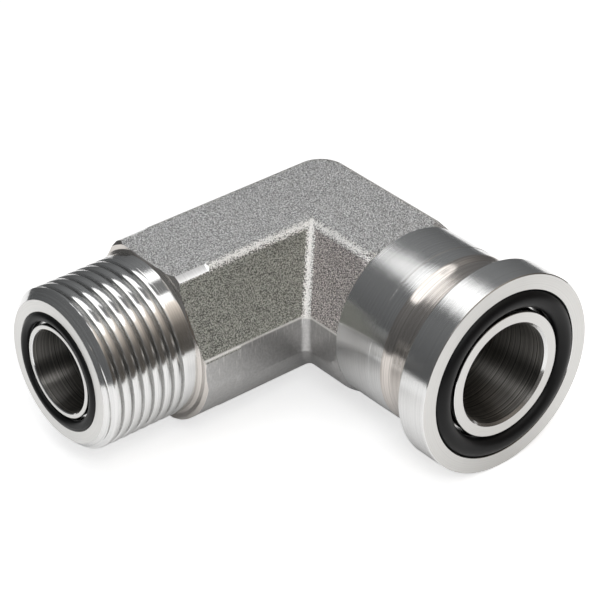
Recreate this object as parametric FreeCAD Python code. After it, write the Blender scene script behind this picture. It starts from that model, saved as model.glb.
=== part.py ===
# Flange elbow fitting: one forged steel elbow, turned at both ends, with an O-ring in each end face.
# Millimetres, +Z up. The origin is where the two bore axes cross.
# The threaded face-seal leg points along -X, the flange leg along -Y.
import FreeCAD
import Part
import math
import os
from FreeCAD import Vector

# Forged body: a bar with flats on top and bottom, sloped upper sides and round lower sides
across_flats = 30.0
upper_side_angle = 60.0
lower_round_radius = 16.95
flash_trim_depth = 0.8
end_trim_depth = 0.5
top_edge_round = 2.0
trim_edge_round = 0.4
outer_corner_radius = 5.0
inner_corner_round = 1.6
boss_start = 31.0

# Turning of the forging at the face-seal leg
shoulder_reach = 38.9
shoulder_root_bevel = 0.5
shoulder_face_width = 0.83
shoulder_chamfer = 0.6
turning_nose_radius = 1.2

# Face-seal end: male barrel for a 1 3/16-12 thread, face groove and bore
seal_reach = 58.2
barrel_diameter = 29.9
barrel_chamfer = 1.7
seal_bore_diameter = 15.5
seal_bore_break = 0.15
seal_land_diameter = 17.25
seal_groove_diameter = 22.0
seal_groove_depth = 1.3
seal_ring_cord = 1.78

# Flange end: code 61 head, size 3/4, with its neck
flange_reach = 50.0
head_diameter = 38.1
head_thickness = 6.73
head_front_break = 0.2
head_rear_chamfer = 0.6
neck_start = 24.3
neck_diameter = 32.7
neck_edge_break = 0.15
neck_step_at = 32.9
neck_step = 0.04
neck_taper_start = 36.2
neck_taper_end = 38.2
clamp_neck_diameter = 31.8
neck_root_round = 0.8
neck_cone_length = 2.7
neck_cone_angle = 15.0

# Flange face: bore and groove
flange_bore_diameter = 19.0
flange_bore_break = 0.45
flange_land_diameter = 23.75
flange_groove_diameter = 32.0
flange_groove_depth = 2.8
flange_ring_cord = 3.53

# Drilling and seats
drill_point_angle = 118.0
drill_overrun = 1.0
ring_seat_clearance = 0.02
groove_edge_break = 0.12
cutter_margin = 4.0

half_height = across_flats / 2
flat_half_width = half_height * math.tan(math.radians(90 - upper_side_angle))
side_run = 1 / math.tan(math.radians(upper_side_angle))
parting_half_width = flat_half_width + half_height * side_run
corner_centre = flat_half_width - outer_corner_radius


def line(a, b):
    """Straight edge between two points."""
    return Part.LineSegment(a, b).toShape()


def arc(a, middle, b):
    """Circular edge through three points."""
    return Part.Arc(a, middle, b).toShape()


def corner_arc(before, corner, after, radius):
    """Start, middle and end of the arc that rounds a corner between two straight runs."""
    to_before = (before - corner).normalize()
    to_after = (after - corner).normalize()
    half_turn = to_before.getAngle(to_after) / 2
    setback = radius / math.tan(half_turn)
    bisector = (to_before + to_after).normalize()
    middle = corner + bisector * (radius / math.sin(half_turn) - radius)
    return corner + to_before * setback, middle, corner + to_after * setback


def polyline_face(points, radii):
    """Closed flat face through the points; radii maps a point's index to the round at that corner."""
    starts, ends, arcs = [], [], []
    count = len(points)
    for index, point in enumerate(points):
        if index in radii:
            before, after = points[index - 1], points[(index + 1) % count]
            first, middle, last = corner_arc(before, point, after, radii[index])
            arcs.append(arc(first, middle, last))
            starts.append(first)
            ends.append(last)
        else:
            starts.append(point)
            ends.append(point)
    lines = [line(ends[index], starts[(index + 1) % count]) for index in range(count)]
    return Part.Face(Part.Wire(Part.__sortEdges__(lines + arcs)))


def section_half(trim_depth):
    """Right half of the forging's section as edges from top to bottom, in (offset, height).

    The flash at the parting line is trimmed away to this depth inside the lower round.
    """
    top_inside = Vector(corner_centre, half_height, 0)
    top_corner = Vector(flat_half_width, half_height, 0)
    outer = lower_round_radius - trim_depth
    trim_top = Vector(outer, (parting_half_width - outer) / side_run, 0)
    arc_top = Vector(outer, -math.sqrt(lower_round_radius ** 2 - outer ** 2), 0)
    arc_end = Vector(math.sqrt(lower_round_radius ** 2 - half_height ** 2), -half_height, 0)
    half_way = (math.atan2(arc_top.y, arc_top.x) + math.atan2(arc_end.y, arc_end.x)) / 2
    arc_middle = Vector(math.cos(half_way), math.sin(half_way), 0) * lower_round_radius
    bottom_inside = Vector(corner_centre, -half_height, 0)
    first, middle, last = corner_arc(top_inside, top_corner, trim_top, top_edge_round)
    start, centre, end = corner_arc(last, trim_top, arc_top, trim_edge_round)
    return [
        line(top_inside, first),
        arc(first, middle, last),
        line(last, start),
        arc(start, centre, end),
        line(end, arc_top),
        arc(arc_top, arc_middle, arc_end),
        line(arc_end, bottom_inside),
    ]


def section_face(trim_depth):
    """Whole section of the forging, standing in the YZ plane."""
    right = section_half(trim_depth)
    left = [edge.mirror(Vector(0, 0, 0), Vector(1, 0, 0)) for edge in right]
    top = line(Vector(-corner_centre, half_height, 0), Vector(corner_centre, half_height, 0))
    bottom = line(Vector(-corner_centre, -half_height, 0), Vector(corner_centre, -half_height, 0))
    face = Part.Face(Part.Wire(Part.__sortEdges__(right + left + [top, bottom])))
    return upright(face)


def upright(shape):
    """Turns a drawing in (offset, height) into the YZ plane."""
    shape.rotate(Vector(0, 0, 0), Vector(1, 0, 0), 90)
    shape.rotate(Vector(0, 0, 0), Vector(0, 0, 1), 90)
    return shape


def corner_sweep():
    """Outer corner of the elbow: the outer half of the section turned through a quarter."""
    closing = line(Vector(corner_centre, half_height, 0), Vector(corner_centre, -half_height, 0))
    face = upright(Part.Face(Part.Wire(Part.__sortEdges__(section_half(flash_trim_depth) + [closing]))))
    face.translate(Vector(corner_centre, 0, 0))
    pivot = Vector(corner_centre, corner_centre, 0)
    return face.revolve(pivot, Vector(0, 0, 1), -90)


def is_valley(edge):
    """True for an edge in the inner corner's diagonal plane."""
    return all(abs(v.X - v.Y) < 0.001 and v.X < 0 for v in edge.Vertexes)


def forging():
    """The forged blank: two legs of one section, a swept outer corner and a rounded inner corner."""
    seal_leg = section_face(flash_trim_depth).translate(Vector(corner_centre, 0, 0))
    seal_leg = seal_leg.extrude(Vector(-corner_centre - boss_start, 0, 0))
    flange_leg = section_face(flash_trim_depth).translate(Vector(corner_centre, 0, 0))
    flange_leg = flange_leg.extrude(Vector(-corner_centre - neck_start, 0, 0))
    flange_leg.rotate(Vector(0, 0, 0), Vector(0, 0, 1), 90)
    blank = seal_leg.fuse([flange_leg, corner_sweep()]).removeSplitter()
    valley = [edge for edge in blank.Edges if is_valley(edge)]
    blank = blank.makeFillet(inner_corner_round, valley)
    end_stock = section_face(end_trim_depth).translate(Vector(-boss_start, 0, 0))
    end_stock = end_stock.extrude(Vector(boss_start - seal_reach, 0, 0))
    return blank.fuse(end_stock)


def turned(points, radii, axis):
    """Solid of revolution about a leg's axis from (distance from the origin, radius) points."""
    face = polyline_face([Vector(-reach, radius, 0) for reach, radius in points], radii)
    solid = face.revolve(Vector(0, 0, 0), Vector(1, 0, 0), 360)
    if axis == "Y":
        solid.rotate(Vector(0, 0, 0), Vector(0, 0, 1), 90)
    return solid


def seal_end_cutter():
    """What the lathe takes off the face-seal leg: shoulder, threaded barrel and its lead-in chamfer."""
    barrel_radius = barrel_diameter / 2
    root_radius = barrel_radius + shoulder_root_bevel
    face_radius = root_radius + shoulder_face_width
    turned_radius = face_radius + shoulder_chamfer
    clear = parting_half_width + cutter_margin
    points = [
        (boss_start, clear),
        (boss_start, turned_radius),
        (shoulder_reach - shoulder_chamfer, turned_radius),
        (shoulder_reach, face_radius),
        (shoulder_reach, root_radius),
        (shoulder_reach + shoulder_root_bevel, barrel_radius),
        (seal_reach - barrel_chamfer, barrel_radius),
        (seal_reach + cutter_margin, barrel_radius - barrel_chamfer - cutter_margin),
        (seal_reach + cutter_margin, clear),
    ]
    return turned(points, {1: turning_nose_radius}, "X")


def neck_cutter():
    """Cone that takes the forging's corners down to the neck."""
    neck_radius = neck_diameter / 2
    cone_rise = neck_cone_length * math.tan(math.radians(neck_cone_angle))
    clear = parting_half_width + cutter_margin
    points = [
        (neck_start - neck_cone_length, clear),
        (neck_start - neck_cone_length, neck_radius + cone_rise),
        (neck_start, neck_radius),
        (neck_start + cutter_margin, neck_radius),
        (neck_start + cutter_margin, clear),
    ]
    return turned(points, {}, "Y")


def neck_and_head():
    """Neck and clamping head of the flange leg."""
    neck_radius = neck_diameter / 2
    second_cut = neck_radius - neck_step
    clamp_radius = clamp_neck_diameter / 2
    head_radius = head_diameter / 2
    head_back = flange_reach - head_thickness
    points = [
        (neck_start, 0),
        (neck_start, neck_radius - neck_edge_break),
        (neck_start + neck_edge_break, neck_radius),
        (neck_step_at, neck_radius),
        (neck_step_at, second_cut),
        (neck_taper_start, second_cut),
        (neck_taper_end, clamp_radius),
        (head_back, clamp_radius),
        (head_back, head_radius - head_rear_chamfer),
        (head_back + head_rear_chamfer, head_radius),
        (flange_reach - head_front_break, head_radius),
        (flange_reach, head_radius - head_front_break),
        (flange_reach, 0),
    ]
    return turned(points, {7: neck_root_round}, "Y")


def drilling(reach, diameter, edge_break, depth_past_axis, axis):
    """Drilled hole from an end face past the crossing, with its drill point and edge break."""
    radius = diameter / 2
    point_length = radius / math.tan(math.radians(drill_point_angle / 2))
    points = [
        (-depth_past_axis - point_length, 0),
        (-depth_past_axis, radius),
        (reach - edge_break, radius),
        (reach + cutter_margin, radius + edge_break + cutter_margin),
        (reach + cutter_margin, 0),
    ]
    return turned(points, {}, axis)


def face_groove(reach, land_diameter, groove_diameter, depth, axis):
    """Ring groove in an end face, its outer edge lightly broken."""
    inner, outer = land_diameter / 2, groove_diameter / 2
    points = [
        (reach - depth, inner),
        (reach - depth, outer),
        (reach - groove_edge_break, outer),
        (reach + cutter_margin, outer + groove_edge_break + cutter_margin),
        (reach + cutter_margin, inner),
    ]
    return turned(points, {}, axis)


def elbow_body():
    """The whole metal piece."""
    body = forging().cut(seal_end_cutter()).cut(neck_cutter())
    body = body.fuse(neck_and_head()).removeSplitter()
    seal_bore_past = flange_bore_diameter / 2 - drill_overrun - seal_bore_diameter / 2
    flange_bore_past = seal_bore_diameter / 2 - drill_overrun
    body = body.cut(drilling(flange_reach, flange_bore_diameter, flange_bore_break, flange_bore_past, "Y"))
    body = body.cut(drilling(seal_reach, seal_bore_diameter, seal_bore_break, seal_bore_past, "X"))
    grooves = [
        face_groove(seal_reach, seal_land_diameter, seal_groove_diameter, seal_groove_depth, "X"),
        face_groove(flange_reach, flange_land_diameter, flange_groove_diameter, flange_groove_depth, "Y"),
    ]
    return body.cut(grooves).removeSplitter()


def seal_ring(reach, groove_diameter, depth, cord, axis):
    """O-ring lying on the groove's floor against its outer wall."""
    ring_radius = groove_diameter / 2 - ring_seat_clearance - cord / 2
    seat = reach - depth + ring_seat_clearance + cord / 2
    direction = Vector(1, 0, 0) if axis == "X" else Vector(0, 1, 0)
    return Part.makeTorus(ring_radius, cord / 2, direction * -seat, direction)


pieces = {
    "elbow_body": elbow_body(),
    "face_seal_o_ring": seal_ring(seal_reach, seal_groove_diameter, seal_groove_depth, seal_ring_cord, "X"),
    "flange_o_ring": seal_ring(
        flange_reach, flange_groove_diameter, flange_groove_depth, flange_ring_cord, "Y"
    ),
}

os.makedirs("parts", exist_ok=True)
for name, shape in pieces.items():
    solid = shape.Solids[0] if len(shape.Solids) == 1 else shape
    print(name, "solids", len(shape.Solids), "valid", solid.isValid(), "volume", round(solid.Volume, 1))
    solid.exportStep("parts/" + name + ".step")
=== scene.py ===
import math

import bmesh
import bpy
from mathutils import Matrix, Vector


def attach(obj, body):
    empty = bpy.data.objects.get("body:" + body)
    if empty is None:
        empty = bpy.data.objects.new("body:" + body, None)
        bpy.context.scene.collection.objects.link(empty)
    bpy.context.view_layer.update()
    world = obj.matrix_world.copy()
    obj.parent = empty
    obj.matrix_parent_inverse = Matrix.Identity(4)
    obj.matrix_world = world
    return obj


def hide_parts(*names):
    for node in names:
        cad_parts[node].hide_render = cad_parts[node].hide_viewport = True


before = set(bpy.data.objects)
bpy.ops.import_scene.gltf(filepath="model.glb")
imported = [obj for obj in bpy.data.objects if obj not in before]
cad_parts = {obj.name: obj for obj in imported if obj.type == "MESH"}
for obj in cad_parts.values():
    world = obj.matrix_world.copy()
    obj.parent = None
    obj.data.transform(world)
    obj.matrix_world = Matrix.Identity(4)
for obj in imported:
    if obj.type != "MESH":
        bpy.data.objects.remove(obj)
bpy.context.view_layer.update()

mm = 0.001
fineMerge, seamMerge, cutSlack = 2e-7, 2e-6, 1e-7  # distances in metres
sealAxis = Vector((-1, 0, 0))    # out of the threaded leg
flangeAxis = Vector((0, -1, 0))  # out of the flange leg


# Mesh helpers

def easedTaper(start, end, count):
    # lathe profile points that ease from one radius to the next
    shares = [i / count for i in range(1, count + 1)]
    return [(start[0] + (end[0] - start[0]) * t, start[1] + (end[1] - start[1]) * smoothRise(t)) for t in shares]


def smoothRise(value):
    value = min(max(value, 0.0), 1.0)
    return value * value * (3 - 2 * value)


def arcPoints(centre, radius, start, end, count):
    # points of a round, angles in degrees
    angles = [math.radians(start + (end - start) * i / count) for i in range(count + 1)]
    return [(centre[0] + radius * math.cos(a), centre[1] + radius * math.sin(a)) for a in angles]


def latheSheet(bm, profile, axis, steps, closed):
    # turns a run of (reach, radius) points about a leg's axis
    verts = [bm.verts.new(axis * reach * mm + Vector((0, 0, radius * mm))) for reach, radius in profile]
    edges = [bm.edges.new(pair) for pair in zip(verts, verts[1:])]
    if closed:
        edges.append(bm.edges.new((verts[-1], verts[0])))
    bmesh.ops.spin(bm, geom=verts + edges, cent=(0, 0, 0), axis=axis, dvec=(0, 0, 0), angle=math.tau,
                   steps=steps, use_merge=True, use_normal_flip=False, use_duplicate=False)


def cutAcross(bm, axis, reach, keepOutside):
    # cuts the mesh across a leg and keeps one side of the cut
    bmesh.ops.bisect_plane(bm, geom=bm.verts[:] + bm.edges[:] + bm.faces[:], dist=cutSlack,
                           plane_co=axis * reach * mm, plane_no=axis,
                           clear_outer=not keepOutside, clear_inner=keepOutside)


def closeRim(bm, axis, reach, slack):
    # fills between the open edges that lie across a leg
    rim = [e for e in bm.edges
           if e.is_boundary and all(abs(v.co.dot(axis) / mm - reach) < slack for v in e.verts)]
    bmesh.ops.triangle_fill(bm, use_beauty=True, use_dissolve=False, edges=rim)


def openEdges(bm):
    return sum(1 for e in bm.edges if not e.is_manifold)


def showPiece(name, bm, materials, sharpAngle=25):
    mesh = bpy.data.meshes.new(name)
    bm.to_mesh(mesh)
    bm.free()
    for material in materials:
        mesh.materials.append(material)
    mesh.shade_smooth()
    mesh.set_sharp_from_angle(angle=math.radians(sharpAngle))
    piece = bpy.data.objects.new(name, mesh)
    bpy.context.scene.collection.objects.link(piece)
    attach(piece, "root")
    return piece


# Shader helpers

def shaderGroup(name, inputs, outputs):
    tree = bpy.data.node_groups.new(name, "ShaderNodeTree")
    for label, kind, value in inputs:
        socket = tree.interface.new_socket(label, in_out="INPUT", socket_type=kind)
        if value is not None:
            socket.default_value = value
    for label in outputs:
        tree.interface.new_socket(label, in_out="OUTPUT", socket_type="NodeSocketFloat")
    return tree, tree.nodes.new("NodeGroupInput").outputs, tree.nodes.new("NodeGroupOutput").inputs


def addNode(tree, kind, values=None, **settings):
    # a value that is a socket gets linked
    node = tree.nodes.new(kind)
    for key, value in settings.items():
        setattr(node, key, value)
    for key, value in (values or {}).items():
        if isinstance(value, bpy.types.NodeSocket):
            tree.links.new(value, node.inputs[key])
        else:
            node.inputs[key].default_value = value
    return node


def mathNode(tree, operation, a, b=0.0, clamp=False):
    return addNode(tree, "ShaderNodeMath", {0: a, 1: b}, operation=operation, use_clamp=clamp).outputs[0]


def spanNode(tree, value, start=(0.0, 1.0), end=(0.0, 1.0)):
    # maps one span of values onto another
    spans = {0: value, 1: start[0], 2: start[1], 3: end[0], 4: end[1]}
    return addNode(tree, "ShaderNodeMapRange", spans).outputs[0]


def noiseNode(tree, place, scale, detail, roughness=0.5):
    values = {"Vector": place, "Scale": scale, "Detail": detail, "Roughness": roughness}
    return addNode(tree, "ShaderNodeTexNoise", values).outputs[0]


def splitPlace(tree, place):
    return addNode(tree, "ShaderNodeSeparateXYZ", {0: place}).outputs


def rampNode(tree, value, stops):
    node = addNode(tree, "ShaderNodeValToRGB", {0: value})
    points = node.color_ramp.elements
    while len(points) < len(stops):
        points.new(0.5)
    for point, (place, shade) in zip(points, stops):
        point.position = place
        point.color = (shade, shade, shade, 1)
    return node.outputs[0]


def mixColours(tree, mask, a, b, blend="MIX"):
    return addNode(tree, "ShaderNodeMix", {0: mask, 6: a, 7: b}, data_type="RGBA", blend_type=blend).outputs[2]


def newMaterial(name, **principled):
    material = bpy.data.materials.new(name)
    material.use_nodes = True
    tree = material.node_tree
    shader = tree.nodes["Principled BSDF"]
    for key, value in principled.items():
        shader.inputs[key].default_value = value
    return material, tree, shader.inputs


def objectPlace(tree, turn=(0, 0, 0)):
    # object coordinates in millimetres, turned so that a pattern's own axis follows the leg
    where = addNode(tree, "ShaderNodeTexCoord").outputs["Object"]
    values = {"Vector": where, "Rotation": turn, "Scale": (1000, 1000, 1000)}
    return addNode(tree, "ShaderNodeMapping", values).outputs[0]


def addFinish(tree, inputs, colour, rough, height, look):
    # colour, a span of roughness and the relief of a surface
    tree.links.new(colour, inputs["Base Color"])
    tree.links.new(spanNode(tree, rough, end=look["rough"]), inputs["Roughness"])
    values = {"Strength": look["bump"], "Distance": look["depth"], "Height": height}
    tree.links.new(addNode(tree, "ShaderNodeBump", values).outputs[0], inputs["Normal"])


# Shot-blasted grain: pits and bright specks of the blasting

blast = {
    "fineDetail": 1.5, "rough": 0.6, "fineHeight": 1.2, "pitHeight": -0.5, "cloudScale": 0.16, "cloudDetail": 3.0,
}


def makeBlastGroup(s):
    tree, given, out = shaderGroup(
        "shotBlast",
        [("Place", "NodeSocketVector", None), ("Grain Size", "NodeSocketFloat", 0.3),
         ("Contrast", "NodeSocketFloat", 1.0)],
        ["Speckle", "Height", "Cloud"],
    )
    scale = mathNode(tree, "DIVIDE", 1.0, given["Grain Size"])
    fine = noiseNode(tree, given["Place"], scale, s["fineDetail"], s["rough"])
    values = {"Vector": given["Place"], "Scale": scale}
    pits = addNode(tree, "ShaderNodeTexVoronoi", values, feature="F1").outputs[0]
    cloud = noiseNode(tree, given["Place"], s["cloudScale"], s["cloudDetail"], s["rough"])
    spread = mathNode(tree, "MULTIPLY", mathNode(tree, "SUBTRACT", fine, 0.5), given["Contrast"])
    fineHeight = mathNode(tree, "MULTIPLY", fine, s["fineHeight"])
    pitHeight = mathNode(tree, "MULTIPLY", pits, s["pitHeight"])
    tree.links.new(mathNode(tree, "ADD", spread, 0.5, True), out["Speckle"])
    tree.links.new(mathNode(tree, "ADD", fineHeight, pitHeight), out["Height"])
    tree.links.new(cloud, out["Cloud"])
    return tree


# Lathe marks: fine rings across the leg's own axis, here Z after the mapping

lathe = {
    "ringDetail": 2.0, "ringRough": 0.6, "contrast": 2.4, "bandScale": 0.09, "bandDetail": 1.0, "bandHeight": 0.8,
    "smearScale": 0.25, "smearDetail": 3.0,
}


def makeLatheGroup(s):
    tree, given, out = shaderGroup(
        "latheMarks",
        [("Place", "NodeSocketVector", None), ("Feed", "NodeSocketFloat", 0.12),
         ("Facing", "NodeSocketFloat", 0.0)],
        ["Rings", "Height", "Smear"],
    )
    x, y, z = splitPlace(tree, given["Place"])
    flat = addNode(tree, "ShaderNodeCombineXYZ", {0: x, 1: y}).outputs[0]
    radius = addNode(tree, "ShaderNodeVectorMath", {0: flat}, operation="LENGTH").outputs["Value"]
    along = mathNode(tree, "MULTIPLY", z, mathNode(tree, "SUBTRACT", 1.0, given["Facing"]))
    along = mathNode(tree, "ADD", along, mathNode(tree, "MULTIPLY", radius, given["Facing"]))
    place = addNode(tree, "ShaderNodeCombineXYZ", {0: mathNode(tree, "DIVIDE", along, given["Feed"])}).outputs[0]
    rings = noiseNode(tree, place, 1.0, s["ringDetail"], s["ringRough"])
    bands = noiseNode(tree, place, s["bandScale"], s["bandDetail"])
    smear = noiseNode(tree, given["Place"], s["smearScale"], s["smearDetail"])
    spread = mathNode(tree, "MULTIPLY", mathNode(tree, "SUBTRACT", rings, 0.5), s["contrast"])
    height = mathNode(tree, "ADD", rings, mathNode(tree, "MULTIPLY", bands, s["bandHeight"]))
    tree.links.new(mathNode(tree, "ADD", spread, 0.5, True), out["Rings"])
    tree.links.new(height, out["Height"])
    tree.links.new(smear, out["Smear"])
    return tree


# Rims of the forging, painted lighter, partly wear and partly a painted highlight: its top edges, the inner corner
# and the burr above the trimmed band

rims = {
    "flatHalf": 8.66, "top": 15.0, "topWidth": 1.2, "cornerWidth": 1.25, "cornerStart": -8.0, "cornerLow": 1.7,
    "grainMiddle": 0.62, "grainShare": 1.15, "edge": 2.2, "leastRim": 0.02,
    "parting": 1.95, "burrFill": 1.3, "burrFall": 4.0,
}


def makeRimGroup(s):
    tree, given, out = shaderGroup(
        "rimWearHighlightGroup",
        [("Place", "NodeSocketVector", None), ("Grain", "NodeSocketFloat", 0.5), ("Wear And Highlight", "NodeSocketFloat", 1.0)],
        ["Mask"],
    )
    x, y, z = splitPlace(tree, given["Place"])
    outer = mathNode(tree, "MAXIMUM", x, y)
    across = mathNode(tree, "SUBTRACT", mathNode(tree, "ABSOLUTE", outer), s["flatHalf"])
    below = mathNode(tree, "SUBTRACT", s["top"], z)
    squares = [mathNode(tree, "MULTIPLY", side, side) for side in (across, below)]
    away = mathNode(tree, "SQRT", mathNode(tree, "ADD", squares[0], squares[1]))
    topRim = mathNode(tree, "SUBTRACT", s["topWidth"], away, True)
    offCorner = mathNode(tree, "ABSOLUTE", mathNode(tree, "SUBTRACT", x, y))
    corner = mathNode(tree, "SUBTRACT", s["cornerWidth"], offCorner, True)
    corner = mathNode(tree, "MULTIPLY", corner, mathNode(tree, "LESS_THAN", outer, s["cornerStart"]))
    corner = mathNode(tree, "MULTIPLY", corner, mathNode(tree, "GREATER_THAN", z, s["cornerLow"]))
    rim = mathNode(tree, "MULTIPLY", mathNode(tree, "MAXIMUM", topRim, corner), given["Wear And Highlight"])
    grain = mathNode(tree, "SUBTRACT", given["Grain"], s["grainMiddle"])
    grain = mathNode(tree, "MULTIPLY", grain, s["grainShare"])
    ragged = mathNode(tree, "MULTIPLY", mathNode(tree, "ADD", rim, grain), s["edge"], True)
    ragged = mathNode(tree, "MULTIPLY", ragged, mathNode(tree, "GREATER_THAN", rim, s["leastRim"]))
    offBurr = mathNode(tree, "ABSOLUTE", mathNode(tree, "SUBTRACT", z, s["parting"]))
    burr = mathNode(tree, "SUBTRACT", s["burrFill"], mathNode(tree, "MULTIPLY", offBurr, s["burrFall"]), True)
    tree.links.new(mathNode(tree, "MAXIMUM", ragged, burr), out["Mask"])
    return tree


# Upright scratches that the trimming die left below the parting line

shears = {
    "squeeze": (3.6, 3.6, 0.35), "detail": 2.0, "rough": 0.6, "least": 0.56, "edge": 7.0, "low": -3.2, "high": 1.6,
}


def makeShearGroup(s):
    tree, given, out = shaderGroup("shearMarks", [("Place", "NodeSocketVector", None)], ["Mask"])
    squeezed = addNode(tree, "ShaderNodeMapping", {"Vector": given["Place"], "Scale": s["squeeze"]}).outputs[0]
    lines = noiseNode(tree, squeezed, 1.0, s["detail"], s["rough"])
    lines = mathNode(tree, "SUBTRACT", lines, s["least"])
    lines = mathNode(tree, "MULTIPLY", lines, s["edge"], True)
    height = splitPlace(tree, given["Place"])[2]
    reach = spanNode(tree, height, start=(s["low"], s["high"]))
    tree.links.new(mathNode(tree, "MULTIPLY", lines, reach), out["Mask"])
    return tree


blastGroup = makeBlastGroup(blast)
latheGroup = makeLatheGroup(lathe)
rimGroup = makeRimGroup(rims)
shearGroup = makeShearGroup(shears)


# Materials: the steel as forged, as trimmed and as turned, and the rubber

forgedLook = {
    "dark": (0.21, 0.21, 0.21, 1), "light": (1.0, 1.0, 1.0, 1), "grainSize": 0.215, "contrast": 4.8,
    # rim colour: partly wear, partly a painted highlight
    "bump": 1.0, "depth": 0.00017, "rough": (0.43, 0.55), "wearAndHighlightColour": (1.0, 0.99, 0.97, 1),
    # side colours: painted shade on the steep sides
    "rimWearAndHighlight": 1.0, "shear": 0.0, "paintedShadeY": (0.50, 0.51, 0.45, 1), "paintedShadeX": (0.84, 0.77, 0.75, 1),
}
trimmedLook = {
    "dark": (0.34, 0.335, 0.33, 1), "light": (0.54, 0.535, 0.53, 1), "grainSize": 0.5, "contrast": 1.0,
    "bump": 0.3, "depth": 0.00006, "rough": (0.26, 0.36), "wearAndHighlightColour": (0.88, 0.87, 0.84, 1),
    "rimWearAndHighlight": 0.0, "shear": 0.6, "paintedShadeY": (1, 1, 1, 1), "paintedShadeX": (1, 1, 1, 1),
}
polishedLook = {
    "dark": (0.60, 0.60, 0.595, 1), "light": (0.78, 0.78, 0.775, 1), "rough": (0.13, 0.19),
    "feed": 0.22, "bump": 0.4, "depth": 0.00003, "stretch": 0.6,
}
tannedLook = {
    "dark": (0.42, 0.385, 0.355, 1), "light": (0.72, 0.68, 0.645, 1), "rough": (0.17, 0.23),
    "feed": 0.26, "bump": 0.6, "depth": 0.00003, "stretch": 0.6,
}
facedLook = {
    "dark": (0.55, 0.545, 0.53, 1), "light": (0.70, 0.695, 0.68, 1), "rough": (0.28, 0.36),
    "feed": 0.14, "bump": 0.3, "depth": 0.00003, "stretch": 0.5,
}
shoulderLook = {
    "dark": (0.46, 0.43, 0.40, 1), "light": (0.70, 0.67, 0.64, 1), "rough": (0.20, 0.26),
    "feed": 0.14, "bump": 0.4, "depth": 0.00003, "stretch": 0.4,
}
# the bores' steel is painted darker than the turned outside: painted shade inside the bores
boreShadeLook = {
    "dark": (0.02, 0.02, 0.02, 1), "light": (0.54, 0.52, 0.49, 1), "rough": (0.35, 0.43),
    "feed": 0.3, "bump": 1.0, "depth": 0.00003, "stretch": 0.93,
}
stripLook = {
    "dark": (0.74, 0.74, 0.74, 1), "light": (0.98, 0.98, 0.98, 1), "rough": (0.26, 0.32),
    "feed": 0.3, "bump": 0.6, "depth": 0.00003, "stretch": 0.5,
}
rubberLook = {
    "dark": (0.003, 0.003, 0.0035, 1), "light": (0.008, 0.008, 0.0085, 1), "rough": (0.36, 0.5),
    "bump": 0.12, "depth": 0.00005, "specular": 0.22, "grainScale": 4.0, "grainDetail": 4.0,
}


def makeForgedSteel(name, look):
    material, tree, inputs = newMaterial(name, Metallic=1.0)
    place = objectPlace(tree)
    values = {"Place": place, "Grain Size": look["grainSize"], "Contrast": look["contrast"]}
    grain = addNode(tree, "ShaderNodeGroup", values, node_tree=blastGroup).outputs
    values = {"Place": place, "Grain": grain["Speckle"], "Wear And Highlight": look["rimWearAndHighlight"]}
    rimWearAndHighlight = addNode(tree, "ShaderNodeGroup", values, node_tree=rimGroup).outputs["Mask"]
    shear = addNode(tree, "ShaderNodeGroup", {"Place": place}, node_tree=shearGroup).outputs["Mask"]
    colour = mixColours(tree, grain["Speckle"], look["dark"], look["light"])
    # the steep sides are given painted shade by the way they face: olive along the threaded leg, reddish along the
    # other
    facing = splitPlace(tree, addNode(tree, "ShaderNodeTexCoord").outputs["Normal"])
    tint = mixColours(tree, mathNode(tree, "ABSOLUTE", facing[1]), (1, 1, 1, 1), look["paintedShadeY"])
    tint = mixColours(tree, mathNode(tree, "ABSOLUTE", facing[0]), tint, look["paintedShadeX"])
    colour = mixColours(tree, 1.0, colour, tint, "MULTIPLY")
    # rims painted lighter: partly wear, partly a painted highlight
    colour = mixColours(tree, rimWearAndHighlight, colour, look["wearAndHighlightColour"])
    colour = mixColours(tree, mathNode(tree, "MULTIPLY", shear, look["shear"]), colour, look["wearAndHighlightColour"])
    addFinish(tree, inputs, colour, grain["Cloud"], grain["Height"], look)
    return material


def makeTurnedSteel(name, leg, facing, look):
    # facing is 1 on a face across the leg, where the rings are circles, and 0 on a barrel
    axis, turn = leg
    material, tree, inputs = newMaterial(name, Metallic=1.0, Anisotropic=look["stretch"])
    values = {"Place": objectPlace(tree, turn), "Feed": look["feed"], "Facing": facing}
    marks = addNode(tree, "ShaderNodeGroup", values, node_tree=latheGroup).outputs
    colour = mixColours(tree, marks["Rings"], look["dark"], look["light"])
    addFinish(tree, inputs, colour, marks["Smear"], marks["Height"], look)
    # the rings stretch a highlight across them: outwards on a face, along the leg on a barrel
    if facing > 0.5:
        where = addNode(tree, "ShaderNodeTexCoord").outputs["Object"]
        acrossLeg = [1 - abs(part) for part in axis]
        across = addNode(tree, "ShaderNodeVectorMath", {0: where, 1: acrossLeg}, operation="MULTIPLY").outputs[0]
    else:
        across = addNode(tree, "ShaderNodeCombineXYZ", {0: abs(axis[0]), 1: abs(axis[1])}).outputs[0]
    tree.links.new(across, inputs["Tangent"])
    return material


def makeRubber(name, look):
    material, tree, inputs = newMaterial(name)
    inputs["Specular IOR Level"].default_value = look["specular"]
    grain = noiseNode(tree, objectPlace(tree), look["grainScale"], look["grainDetail"])
    addFinish(tree, inputs, mixColours(tree, grain, look["dark"], look["light"]), grain, grain, look)
    return material


# the turn lays each leg's axis along the pattern's Z
sealLeg = (sealAxis, (0, math.radians(90), 0))
flangeLeg = (flangeAxis, (math.radians(90), 0, 0))

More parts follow.
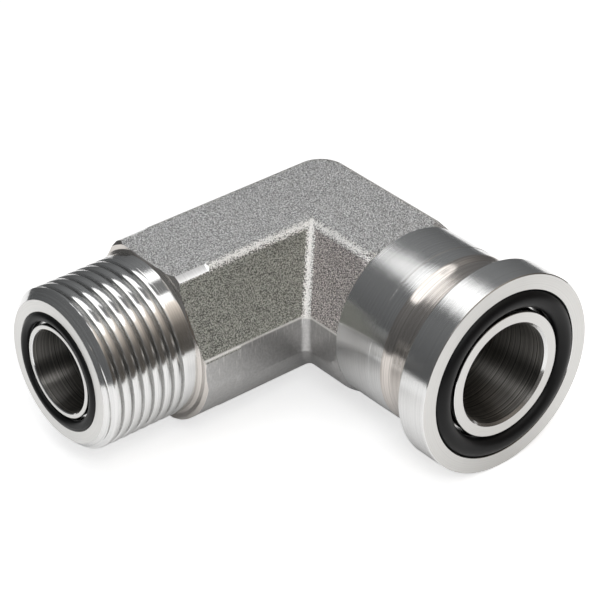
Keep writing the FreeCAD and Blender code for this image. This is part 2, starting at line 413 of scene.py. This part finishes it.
forgedSteel = makeForgedSteel("forgedSteel", forgedLook)
trimmedSteel = makeForgedSteel("trimmedSteel", trimmedLook)
turnedSeal = makeTurnedSteel("turnedSteelSeal", sealLeg, 0.0, polishedLook)
turnedFlange = makeTurnedSteel("turnedSteelFlange", flangeLeg, 0.0, polishedLook)
stripSteel = makeTurnedSteel("stripSteel", sealLeg, 0.0, stripLook)
shoulderSteel = makeTurnedSteel("shoulderSteel", sealLeg, 1.0, shoulderLook)
tannedFlange = makeTurnedSteel("tannedSteelFlange", flangeLeg, 0.0, tannedLook)
facedSeal = makeTurnedSteel("facedSteelSeal", sealLeg, 1.0, facedLook)
facedFlange = makeTurnedSteel("facedSteelFlange", flangeLeg, 1.0, facedLook)
boreSeal = makeTurnedSteel("boreSteelSeal", sealLeg, 0.0, boreShadeLook)
boreFlange = makeTurnedSteel("boreSteelFlange", flangeLeg, 0.0, boreShadeLook)
blackRubber = makeRubber("blackRubber", rubberLook)
print("materials made")


# Flange end: neck, clamping head, O-ring groove and bore, turned as one

flangeEnd = {
    "reach": 50.0, "headRadius": 19.038, "headBack": 43.27, "backChamfer": 0.6, "frontBreak": 0.16,
    "neckStart": 24.29, "neckRadius": 16.35, "edgeBreak": 0.15, "stepAt": 32.9, "step": 0.04,
    "taperStart": 36.0, "taperEnd": 38.4, "taperSteps": 12, "clampRadius": 15.9, "rootRound": 0.8,
    "rootSteps": 14, "grooveRadius": 16.0, "grooveBreak": 0.1, "landRadius": 11.875, "landBreak": 0.08,
    "grooveDepth": 2.8, "boreRadius": 9.5, "boreBreak": 0.45, "steps": 224,
    "faceSlack": 0.3, "faceUpright": 0.9, "boreSlack": 0.1, "sharpAngle": 8,
}


def flangeMaterial(s, face):
    # 0 polished, 1 faced, 2 bore, 3 tanned
    centre = face.calc_center_median() / mm
    reach, radius = -centre.y, math.hypot(centre.x, centre.z)
    if radius < s["boreRadius"] + s["boreSlack"]:
        return 2
    if reach > s["reach"] - s["faceSlack"] and abs(face.normal.y) > s["faceUpright"]:
        return 1
    return 3 if s["taperStart"] < reach < s["headBack"] else 0


def buildFlangeEnd(s):
    bm = bmesh.new()
    face, groove = s["reach"], s["reach"] - s["grooveDepth"]
    second = s["neckRadius"] - s["step"]
    profile = [(s["neckStart"], s["boreRadius"]), (s["neckStart"], s["neckRadius"] - s["edgeBreak"])]
    profile += [(s["neckStart"] + s["edgeBreak"], s["neckRadius"]), (s["stepAt"], s["neckRadius"])]
    profile += [(s["stepAt"] + s["step"], second), (s["taperStart"], second)]
    profile += easedTaper((s["taperStart"], second), (s["taperEnd"], s["clampRadius"]), s["taperSteps"])
    root = (s["headBack"] - s["rootRound"], s["clampRadius"] + s["rootRound"])
    profile += arcPoints(root, s["rootRound"], -90, 0, s["rootSteps"])
    profile += [(s["headBack"], s["headRadius"] - s["backChamfer"])]
    profile += [(s["headBack"] + s["backChamfer"], s["headRadius"])]
    profile += [(face - s["frontBreak"], s["headRadius"]), (face, s["headRadius"] - s["frontBreak"])]
    profile += [(face, s["grooveRadius"] + s["grooveBreak"]), (face - s["grooveBreak"], s["grooveRadius"])]
    profile += [(groove, s["grooveRadius"]), (groove, s["landRadius"])]
    profile += [(face - s["landBreak"], s["landRadius"]), (face, s["landRadius"] - s["landBreak"])]
    profile += [(face, s["boreRadius"] + s["boreBreak"]), (face - s["boreBreak"], s["boreRadius"])]
    latheSheet(bm, profile, flangeAxis, s["steps"], True)
    bmesh.ops.remove_doubles(bm, verts=bm.verts, dist=fineMerge)
    bmesh.ops.recalc_face_normals(bm, faces=bm.faces)
    for f in bm.faces:
        f.material_index = flangeMaterial(s, f)
    print("flange end made, open edges", openEdges(bm))
    return showPiece("flangeEnd", bm, [turnedFlange, facedFlange, boreFlange, tannedFlange], s["sharpAngle"])


flangePiece = buildFlangeEnd(flangeEnd)


# Threaded end: helical thread with lead-in chamfer and run-out, face groove and bore

sealEnd = {
    "reach": 58.2, "start": 39.45, "crestRadius": 14.95, "rootRadius": 13.8, "pitch": 2.1167,
    "crestShare": 0.61, "crown": 0.08, "phase": 54.17, "chamferFace": 13.25,
    "runOut": 41.5, "runOutLength": 1.0,
    "grooveRadius": 11.0, "grooveBreak": 0.1, "landRadius": 8.63, "landBreak": 0.08, "grooveDepth": 1.3,
    "boreRadius": 7.75, "boreBreak": 0.15, "innerLine": 12.6, "steps": 192, "perPitch": 40,
    "spunRadius": 14.0, "spareBefore": 1.3, "spare": 2.6,
    "faceSlack": 0.06, "boreSlack": 0.05, "rimSlack": 0.001,
}


def threadRadius(s, reach, turns):
    depth = s["crestRadius"] - s["rootRadius"]
    phase = ((reach - s["phase"]) / s["pitch"] - turns) % 1.0
    fromCrest = min(phase, 1.0 - phase)
    halfCrest = s["crestShare"] / 2
    # a slightly crowned crest between narrow rounded grooves
    crown = s["crown"] * min(fromCrest / halfCrest, 1.0) ** 2
    groove = smoothRise((fromCrest - halfCrest) / (0.5 - halfCrest))
    radius = s["crestRadius"] - crown - (depth - s["crown"]) * groove
    runOut = s["crestRadius"] - depth * smoothRise((reach - s["runOut"]) / s["runOutLength"])
    leadIn = s["chamferFace"] + s["reach"] - reach
    return min(max(radius, runOut), leadIn, s["crestRadius"])


def spinHelix(bm, s):
    # a line along the leg, spun one turn with one pitch of rise, joins up into a helical sheet
    stride = s["pitch"] / s["perPitch"]
    count = int((s["reach"] - s["start"] + s["spare"] * s["pitch"]) / stride)
    line = [s["start"] - s["spareBefore"] * s["pitch"] + stride * i for i in range(count)]
    verts = [bm.verts.new(sealAxis * reach * mm + Vector((0, s["spunRadius"] * mm, 0))) for reach in line]
    edges = [bm.edges.new(pair) for pair in zip(verts, verts[1:])]
    rise = sealAxis * (s["pitch"] * mm / s["steps"])
    bmesh.ops.spin(bm, geom=verts + edges, cent=(0, 0, 0), axis=sealAxis, dvec=rise, angle=math.tau,
                   steps=s["steps"], use_merge=False, use_normal_flip=False, use_duplicate=False)
    bmesh.ops.remove_doubles(bm, verts=bm.verts, dist=seamMerge)


def buildSealEnd(s):
    bm = bmesh.new()
    spinHelix(bm, s)
    for vert in bm.verts:
        reach = -vert.co.x / mm
        turns = math.atan2(vert.co.z, -vert.co.y) / math.tau
        out = Vector((0, vert.co.y, vert.co.z)).normalized()
        vert.co = Vector((vert.co.x, 0, 0)) + out * threadRadius(s, reach, turns) * mm
    cutAcross(bm, sealAxis, s["reach"], False)
    cutAcross(bm, sealAxis, s["start"], True)
    face, groove = s["reach"], s["reach"] - s["grooveDepth"]
    profile = [(face, s["innerLine"])]
    profile += [(face, s["grooveRadius"] + s["grooveBreak"]), (face - s["grooveBreak"], s["grooveRadius"])]
    profile += [(groove, s["grooveRadius"]), (groove, s["landRadius"])]
    profile += [(face - s["landBreak"], s["landRadius"]), (face, s["landRadius"] - s["landBreak"])]
    profile += [(face, s["boreRadius"] + s["boreBreak"]), (face - s["boreBreak"], s["boreRadius"])]
    profile += [(s["start"], s["boreRadius"]), (s["start"], s["innerLine"])]
    latheSheet(bm, profile, sealAxis, s["steps"], False)
    bmesh.ops.remove_doubles(bm, verts=bm.verts, dist=seamMerge)
    closeRim(bm, sealAxis, s["reach"], s["rimSlack"])
    closeRim(bm, sealAxis, s["start"], s["rimSlack"])
    bmesh.ops.recalc_face_normals(bm, faces=bm.faces)
    for f in bm.faces:
        centre = f.calc_center_median() / mm
        if math.hypot(centre.y, centre.z) < s["boreRadius"] + s["boreSlack"]:
            f.material_index = 2
        elif -centre.x > s["reach"] - s["faceSlack"]:
            f.material_index = 1
    print("threaded end made, open edges", openEdges(bm))
    return showPiece("threadedEnd", bm, [turnedSeal, facedSeal, boreSeal])


sealPiece = buildSealEnd(sealEnd)


# Shoulder: the forging's own section, cut down by the lathe to where the thread starts

endStock = {
    "start": 31.0, "end": 39.45, "halfHeight": 15.0, "flatHalf": 8.6603, "flatSteps": 16,
    "slope": 0.57735, "slopeSteps": 12, "topRound": 2.0, "roundEndSteps": 3, "stripSteps": 8,
    "side": 16.45, "sideSteps": 8, "lowerRadius": 16.95, "lowerSteps": 26,
    "turnedRadius": 16.88, "noseRadius": 1.2, "noseSteps": 4, "faceAt": 38.9, "chamfer": 0.6,
    "rootRadius": 15.45, "barrelRadius": 14.95, "boreRadius": 7.75,
    "stripLow": 3.0, "bandTop": 1.5, "bandLow": -14.9, "slack": 0.001, "sharpAngle": 18,
}


def sectionHalf(s):
    # right half of the forging's section from top to bottom, as (offset, height) points
    half, side, turnedRadius = s["halfHeight"], s["side"], s["turnedRadius"]
    setback = s["topRound"] * math.tan(math.radians(30))
    centre = (s["flatHalf"] - setback, half - s["topRound"])
    points = [(centre[0] * i / s["flatSteps"], half) for i in range(s["flatSteps"])]
    # the lathe's radius meets the rounded corner at equal angles on both sides of its middle
    away = math.hypot(*centre)
    grazing = (turnedRadius ** 2 - away ** 2 - s["topRound"] ** 2) / (2 * away * s["topRound"])
    spread = math.degrees(math.acos(grazing))
    high, low = 60 + spread, 60 - spread
    points += arcPoints(centre, s["topRound"], 90, high, s["roundEndSteps"])
    points += arcPoints(centre, s["topRound"], high, low, s["stripSteps"])[1:]
    points += arcPoints(centre, s["topRound"], low, 30, s["roundEndSteps"])[1:]
    last = points[-1]
    corner = (s["flatHalf"] + half * s["slope"] - side) / s["slope"]
    shares = [i / s["slopeSteps"] for i in range(1, s["slopeSteps"])]
    points += [(last[0] + (side - last[0]) * t, last[1] + (corner - last[1]) * t) for t in shares]
    arcTop = -math.sqrt(s["lowerRadius"] ** 2 - side ** 2)
    points += [(side, corner + (arcTop - corner) * i / s["sideSteps"]) for i in range(s["sideSteps"])]
    arcStart = math.degrees(math.atan2(arcTop, side))
    arcEnd = math.degrees(math.atan2(-half, math.sqrt(s["lowerRadius"] ** 2 - half ** 2)))
    points += arcPoints((0, 0), s["lowerRadius"], arcStart, arcEnd, s["lowerSteps"])
    reach = points[-1][0]
    return points + [(reach * (1 - i / s["flatSteps"]), -half) for i in range(1, s["flatSteps"] + 1)]


def stockColumn(s, radius):
    # lathe profile along the leg where the section is this far from the axis
    nose, turned = s["noseRadius"], s["turnedRadius"]
    faceRadius = turned - s["chamfer"]
    noseEnd = s["start"] + nose
    arcStart = s["start"]
    if radius > turned:
        arcStart = noseEnd - math.sqrt(nose ** 2 - (turned + nose - radius) ** 2)
    column = [(s["start"], radius)]
    for i in range(s["noseSteps"] + 1):
        reach = arcStart + (noseEnd - arcStart) * i / s["noseSteps"]
        cut = turned + nose - math.sqrt(max(nose ** 2 - (noseEnd - reach) ** 2, 0))
        column.append((reach, min(radius, cut)))
    cutBack = min(max(min(radius, turned) - faceRadius, 0), s["chamfer"])
    column += [(s["faceAt"] - cutBack, min(radius, turned)), (s["faceAt"], min(radius, faceRadius))]
    column.append((s["faceAt"] + max(s["rootRadius"] - radius, 0), min(radius, s["rootRadius"])))
    column.append((s["faceAt"] + s["rootRadius"] - s["barrelRadius"], s["barrelRadius"]))
    column += [(s["end"], s["barrelRadius"]), (s["end"], s["boreRadius"]), (s["start"], s["boreRadius"])]
    return column


# the turned stretches of a column, by their place in it, and what each is made of
stockMaterials = [forgedSteel, trimmedSteel, turnedSeal, shoulderSteel, boreSeal, stripSteel]
stretchMaterial = {6: 3, 7: 3, 8: 3, 9: 2, 10: 2, 11: 4, 12: 1}


def stockMaterial(s, stretch, face, tall):
    # what isn't turned is the strip on the top corners, or else as forged or as trimmed
    if stretch in stretchMaterial:
        return stretchMaterial[stretch]
    height = face.calc_center_median().z / mm
    if height > s["stripLow"] and tall and stretch > 0:
        return 5
    return 0 if height > s["bandTop"] or height < s["bandLow"] else 1


def buildEndStock(s):
    bm = bmesh.new()
    half = sectionHalf(s)
    outline = half + [(-offset, height) for offset, height in reversed(half[1:-1])]
    columns = []
    for offset, height in outline:
        radius = math.hypot(offset, height)
        out = Vector((0, offset / radius, height / radius))
        columns.append([bm.verts.new((sealAxis * reach + out * r) * mm) for reach, r in stockColumn(s, radius)])
    for left, right in zip(columns, columns[1:] + columns[:1]):
        lowest = min(math.hypot(v.co.y, v.co.z) for v in (left[0], right[0])) / mm
        tall = lowest > s["turnedRadius"] - s["slack"]
        for i in range(len(left)):
            j = (i + 1) % len(left)
            face = bm.faces.new((left[i], left[j], right[j], right[i]))
            face.material_index = stockMaterial(s, i, face, tall)
    bmesh.ops.remove_doubles(bm, verts=bm.verts, dist=fineMerge)
    bmesh.ops.recalc_face_normals(bm, faces=bm.faces)
    print("shoulder made, open edges", openEdges(bm))
    return showPiece("shoulderEnd", bm, stockMaterials, s["sharpAngle"])


stockPiece = buildEndStock(endStock)


# Forged body: the frame's own solid, cut off where the turned ends begin

forgedBody = {
    "sealCut": 31.0, "flangeCut": 24.29, "bandTop": 2.03, "upright": 0.995,
    "sealBore": 7.9, "sealBoreFrom": 5.0, "flangeBore": 9.6, "rimSlack": 0.002, "sharpAngle": 22,
}


def bodyMaterial(s, face):
    # 0 forged, 1 trimmed and pressed, 2 and 3 the bores
    centre = face.calc_center_median() / mm
    if math.hypot(centre.y, centre.z) < s["sealBore"] and centre.x < -s["sealBoreFrom"]:
        return 2
    if math.hypot(centre.x, centre.z) < s["flangeBore"]:
        return 3
    return 1 if centre.z < s["bandTop"] and face.normal.z > -s["upright"] else 0


def buildForgedBody(s):
    bm = bmesh.new()
    bm.from_mesh(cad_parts["elbow_body"].data)
    bmesh.ops.remove_doubles(bm, verts=bm.verts, dist=seamMerge)
    for axis, reach in ((sealAxis, s["sealCut"]), (flangeAxis, s["flangeCut"])):
        cutAcross(bm, axis, reach, False)
        closeRim(bm, axis, reach, s["rimSlack"])
    for face in bm.faces:
        face.material_index = bodyMaterial(s, face)
    print("forged body made, open edges", openEdges(bm))
    piece = showPiece("forgedBody", bm, [forgedSteel, trimmedSteel, boreSeal, boreFlange], s["sharpAngle"])
    piece.modifiers.new("weightedNormals", "WEIGHTED_NORMAL").keep_sharp = True
    return piece


forgedPiece = buildForgedBody(forgedBody)
for piece in (forgedPiece, stockPiece, sealPiece, flangePiece):
    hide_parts("elbow_body")
for name in ("face_seal_o_ring", "flange_o_ring"):
    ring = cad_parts[name]
    ring.data.materials.clear()
    ring.data.materials.append(blackRubber)
print("rings dressed")


# Studio: a large round softbox overhead, a pale floor and a ring of cards that the steel mirrors

studio = {
    "floor": -0.01907, "floorSize": 6.0, "floorColour": (0.9, 0.9, 0.9, 1), "floorGlow": 0.62,
    "shadeReach": 0.045, "shadeSamples": 4, "shadeSpan": (0.25, 0.8),
    "softBoxPlace": (0, 0, 0.6), "softBoxSize": 0.88, "softBoxPower": 1.95,
    "frontLampPlace": (-0.192, -0.274, 0.301), "frontLampSize": 0.14, "frontLampPower": 0.4,
    "flagPlace": (0.31, -0.02, 0.57), "flagSize": (0.38, 0.23, 1), "flagGlow": 0.2,
    "cardRadius": 0.165, "cardTop": 0.255, "cardSides": 96, "worldFill": 0.2,
    "frontCards": [(0.0, 0.13), (0.146, 0.08), (0.28, 0.105), (0.43, 0.19), (0.594, 0.44), (0.783, 0.78),
                   (0.98, 1.15)],
    "backCards": [(0.0, 0.15), (0.14, 0.15), (0.33, 0.19), (0.48, 0.22), (0.64, 0.24), (0.93, 0.21), (1.0, 0.24)],
    "frontWay": (3.2, -5.2, 0), "frontSpan": (0.2, 0.9), "frontTint": (1.12, 1.0, 0.88, 1),
    "backTint": (0.98, 1.0, 1.02, 1), "sideWay": (-4.4, 4.1, 0), "sideSpan": (0.3, 0.8), "sideShade": 0.75,
}


def addLamp(name, place, size, power):
    lamp = bpy.data.lights.new(name, "AREA")
    lamp.shape = "DISK"
    lamp.size = size
    lamp.energy = power
    lampObject = bpy.data.objects.new(name, lamp)
    lampObject.location = place
    lampObject.rotation_euler = (-Vector(place)).to_track_quat("-Z", "Y").to_euler()
    bpy.context.scene.collection.objects.link(lampObject)


def stagePiece(name, bm, material):
    mesh = bpy.data.meshes.new(name)
    bm.to_mesh(mesh)
    bm.free()
    mesh.materials.append(material)
    piece = bpy.data.objects.new(name, mesh)
    bpy.context.scene.collection.objects.link(piece)
    return piece


def seenRays(tree):
    # 1 for camera, mirror and transmission rays
    rays = addNode(tree, "ShaderNodeLightPath").outputs
    seen = mathNode(tree, "MAXIMUM", rays["Is Camera Ray"], rays["Is Transmission Ray"])
    return mathNode(tree, "MAXIMUM", seen, rays["Is Glossy Ray"])


def makeFloor(s):
    bm = bmesh.new()
    bmesh.ops.create_grid(bm, x_segments=1, y_segments=1, size=s["floorSize"])
    bmesh.ops.translate(bm, verts=bm.verts, vec=(0, 0, s["floor"]))
    material, tree, inputs = newMaterial("paleFloor", Roughness=1.0)
    inputs["Specular IOR Level"].default_value = 0.0
    inputs["Base Color"].default_value = s["floorColour"]
    inputs["Emission Color"].default_value = (1, 1, 1, 1)
    # what the steel mirrors of the floor is dark under the fitting
    values = {"Distance": s["shadeReach"]}
    shade = addNode(tree, "ShaderNodeAmbientOcclusion", values, samples=s["shadeSamples"]).outputs["AO"]
    direct = addNode(tree, "ShaderNodeLightPath").outputs["Is Camera Ray"]
    shade = mathNode(tree, "MAXIMUM", spanNode(tree, shade, start=s["shadeSpan"]), direct)
    glow = mathNode(tree, "MULTIPLY", seenRays(tree), s["floorGlow"])
    tree.links.new(mathNode(tree, "MULTIPLY", glow, shade), inputs["Emission Strength"])
    return stagePiece("floor", bm, material)


def makeFlag(s):
    # a grey bar under the softbox that splits its reflection in the barrel
    bm = bmesh.new()
    bmesh.ops.create_grid(bm, x_segments=1, y_segments=1, size=0.5)
    bmesh.ops.scale(bm, verts=bm.verts, vec=s["flagSize"])
    bmesh.ops.translate(bm, verts=bm.verts, vec=s["flagPlace"])
    material, tree, inputs = newMaterial("studioFlag", Roughness=1.0)
    inputs["Base Color"].default_value = (0, 0, 0, 1)
    inputs["Emission Color"].default_value = (1, 1, 1, 1)
    inputs["Emission Strength"].default_value = s["flagGlow"]
    flag = stagePiece("studioFlag", bm, material)
    flag.visible_camera = False


def directionShare(tree, where, way, start, end=(0.0, 1.0)):
    # grows towards one side of the ring of cards
    toSide = addNode(tree, "ShaderNodeVectorMath", {0: where, 1: way}, operation="DOT_PRODUCT").outputs["Value"]
    return spanNode(tree, toSide, start, end)


def makeCards(s):
    bm = bmesh.new()
    bmesh.ops.create_cone(bm, segments=s["cardSides"], radius1=s["cardRadius"], radius2=s["cardRadius"],
                          cap_ends=False, depth=s["cardTop"] - s["floor"])
    bmesh.ops.translate(bm, verts=bm.verts, vec=(0, 0, (s["cardTop"] + s["floor"]) / 2))
    material, tree, inputs = newMaterial("studioCard", Roughness=1.0)
    inputs["Specular IOR Level"].default_value = 0.0
    inputs["Base Color"].default_value = (0, 0, 0, 1)
    where = addNode(tree, "ShaderNodeTexCoord").outputs["Object"]
    height = spanNode(tree, splitPlace(tree, where)[2], start=(s["floor"], s["cardTop"]))
    front = directionShare(tree, where, s["frontWay"], s["frontSpan"])
    glow = mixColours(tree, front, rampNode(tree, height, s["backCards"]), rampNode(tree, height, s["frontCards"]))
    tint = mixColours(tree, front, s["backTint"], s["frontTint"])
    tree.links.new(mixColours(tree, 1.0, glow, tint, "MULTIPLY"), inputs["Emission Color"])
    shade = directionShare(tree, where, s["sideWay"], s["sideSpan"], (1.0, s["sideShade"]))
    tree.links.new(shade, inputs["Emission Strength"])
    cards = stagePiece("studioCards", bm, material)
    cards.visible_camera = False
    cards.visible_shadow = False


makeFlag(studio)
makeFloor(studio)
makeCards(studio)
addLamp("softBox", studio["softBoxPlace"], studio["softBoxSize"], studio["softBoxPower"])
addLamp("frontLamp", studio["frontLampPlace"], studio["frontLampSize"], studio["frontLampPower"])

world = bpy.data.worlds.new("studioWorld")
bpy.context.scene.world = world
world.use_nodes = True
worldTree = world.node_tree
background = worldTree.nodes["Background"].inputs
background["Color"].default_value = (1, 1, 1, 1)
strength = spanNode(worldTree, seenRays(worldTree), end=(studio["worldFill"], 1.0))
worldTree.links.new(strength, background["Strength"])

# the camera as fitted to the photograph's circles
view = {
    "place": (-0.258871, -0.311222, 0.254332), "right": (0.7715, -0.636197, -0.006422),
    "up": (0.351688, 0.418028, 0.837596), "back": (-0.530191, -0.648465, 0.546252),
    "lens": 156.458, "sensor": 36.0, "clipStart": 0.01,
}
camera = bpy.data.cameras.new("camera")
camera.sensor_width = view["sensor"]
camera.lens = view["lens"]
camera.clip_start = view["clipStart"]
cameraObject = bpy.data.objects.new("camera", camera)
facing = Matrix([view[side] for side in ("right", "up", "back")]).transposed().to_4x4()
cameraObject.matrix_world = Matrix.Translation(view["place"]) @ facing
bpy.context.scene.collection.objects.link(cameraObject)
bpy.context.scene.camera = cameraObject
bpy.context.scene.view_settings.view_transform = "Standard"
print("studio made")
